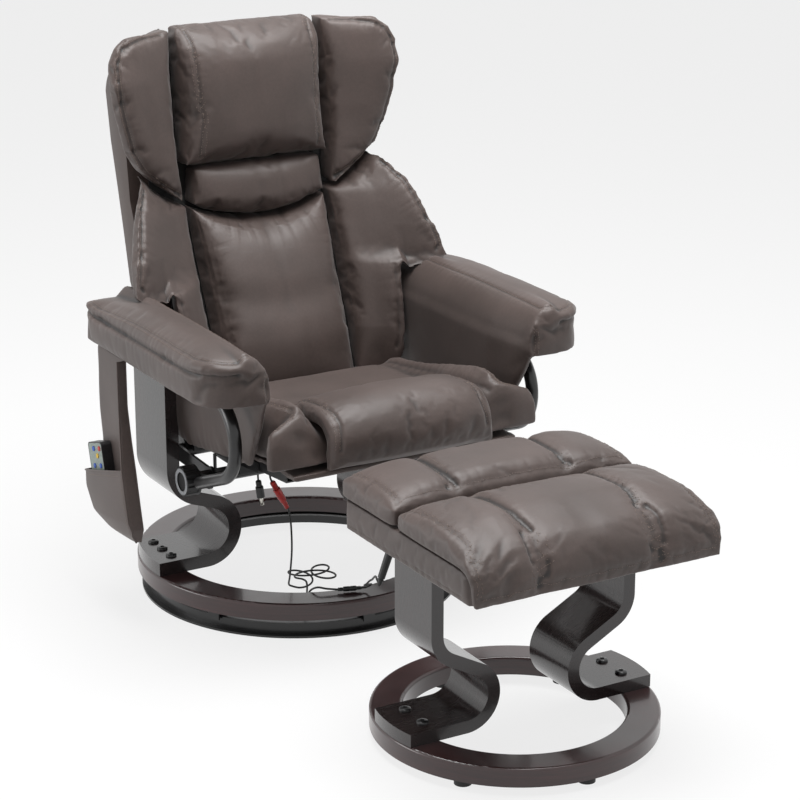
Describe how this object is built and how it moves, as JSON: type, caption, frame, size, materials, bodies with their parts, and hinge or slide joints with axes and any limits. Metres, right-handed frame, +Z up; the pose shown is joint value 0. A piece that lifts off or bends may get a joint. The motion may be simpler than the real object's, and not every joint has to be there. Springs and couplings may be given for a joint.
{
  "type": "reflexology chair",
  "caption": "Reclining massage armchair in dark leather on a swivelling bent-wood ring base, with a matching footstool and a hand control in a side pouch.",
  "frame": {"origin": "centre of the chair's swivel track, on the floor", "axes": "+Z up, the chair faces -Y towards its footstool, +X to the sitter's left"},
  "size_m": [0.752, 1.2978, 1.008],
  "materials": {
    "wood": "gloss stain, dark mahogany",
    "black_steel": "gloss black",
    "bearing_steel": "polished",
    "leather": "semi-gloss dark brown hide",
    "shell_cover": "semi-gloss dark brown hide over a moulded shell",
    "plywood": "black-stained plywood",
    "black_plastic": "moulded black",
    "remote_grey": "grey-green",
    "button_blue": "blue",
    "button_red": "red",
    "button_yellow": "yellow",
    "red_plastic": "red",
    "black_rubber": "matt"
  },
  "bodies": {
    "stand": {"track_ring": "black_steel", "stool_ring": "wood", "stool_feet": "black_rubber", "stool_leg_left": "wood", "stool_leg_right": "wood", "stool_screws": "black_steel", "stool_board": "leather", "stool_pad_near": "leather", "stool_pad_far": "leather", "stool_motor": "black_plastic", "stool_plug": "black_rubber", "lead_stool": "black_rubber"},
    "ball_ring": {"ball_cage": "bearing_steel"},
    "chair_base": {"inner_race": "black_steel", "base_ring": "wood", "leg_left": "wood", "leg_right": "wood", "frame_screws": "black_steel", "leg_plates": "black_steel", "side_hoops": "black_steel", "cross_tubes": "black_steel", "seat_guides": "black_steel", "arm_body_left": "leather", "arm_body_right": "leather", "arm_pad_left": "leather", "arm_pad_right": "leather", "pouch": "leather", "control_box": "black_plastic", "dc_lead": "black_rubber", "dc_plug": "black_rubber", "red_plug": "red_plastic", "lead_stub": "black_rubber", "lead_drop": "black_rubber", "lead_bundle": "black_rubber", "lead_coupler": "black_rubber"},
    "left_knob": {"knob_left": "black_plastic"},
    "right_knob": {"knob_right": "black_plastic"},
    "seat": {"seat_frame": "black_steel", "seat_board": "plywood", "seat_cushion": "leather", "seat_front_roll": "leather", "seat_motors": "black_plastic"},
    "backrest": {"back_frame": "plywood", "back_shell": "shell_cover", "back_panel": "leather", "back_wing_left": "leather", "back_wing_right": "leather", "head_wing_left": "leather", "head_wing_right": "leather", "neck_roll": "leather", "head_pillow": "leather", "back_motors": "black_plastic", "recline_pins": "black_steel"},
    "remote": {"remote_shell": "black_plastic", "remote_face": "remote_grey"},
    "power_key": {"power_button": "button_blue"},
    "heat_key": {"heat_button": "button_red"},
    "zone_key": {"zone_button": "button_yellow"},
    "speed_key": {"speed_button": "button_blue"},
    "mode_key": {"mode_button": "button_blue"}
  },
  "joints": [
    {"name": "swivel", "type": "hinge", "parent": "stand", "child": "chair_base", "pos_m": [0, 0, 0.012], "axis": [0, 0, 1], "continuous": true, "deforming": ["lead_stool"]},
    {"name": "ball_turn", "type": "hinge", "parent": "stand", "child": "ball_ring", "pos_m": [0, 0, 0.012], "axis": [0, 0, 1], "continuous": true},
    {"name": "recline", "type": "hinge", "parent": "chair_base", "child": "backrest", "pos_m": [0, 0.062, 0.352], "axis": [-1, 0, 0], "range_deg": [0, 35]},
    {"name": "seat_slide", "type": "slide", "parent": "chair_base", "child": "seat", "axis": [0, -0.9962, 0.0872], "range_m": [0, 0.04]},
    {"name": "left_knob_turn", "type": "hinge", "parent": "chair_base", "child": "left_knob", "pos_m": [0.294, -0.152, 0.288], "axis": [1, 0, 0], "continuous": true},
    {"name": "right_knob_turn", "type": "hinge", "parent": "chair_base", "child": "right_knob", "pos_m": [-0.294, -0.152, 0.288], "axis": [-1, 0, 0], "continuous": true},
    {"name": "remote_lift", "type": "slide", "parent": "chair_base", "child": "remote", "axis": [0, 0.2756, 0.9613], "range_m": [0, 0.06]},
    {"name": "power_press", "type": "slide", "parent": "remote", "child": "power_key", "axis": [1, 0, 0], "range_m": [0, 0.0008], "stiffness_N_per_m": 300},
    {"name": "heat_press", "type": "slide", "parent": "remote", "child": "heat_key", "axis": [1, 0, 0], "range_m": [0, 0.0008], "stiffness_N_per_m": 300},
    {"name": "zone_press", "type": "slide", "parent": "remote", "child": "zone_key", "axis": [1, 0, 0], "range_m": [0, 0.0008], "stiffness_N_per_m": 300},
    {"name": "speed_press", "type": "slide", "parent": "remote", "child": "speed_key", "axis": [1, 0, 0], "range_m": [0, 0.0008], "stiffness_N_per_m": 300},
    {"name": "mode_press", "type": "slide", "parent": "remote", "child": "mode_key", "axis": [1, 0, 0], "range_m": [0, 0.0008], "stiffness_N_per_m": 300}
  ],
  "couplings": [
    {"joint": "ball_turn", "follows": "swivel", "ratio": 0.49},
    {"joint": "seat_slide", "follows": "recline", "m_per_rad": 0.0654}
  ]
}
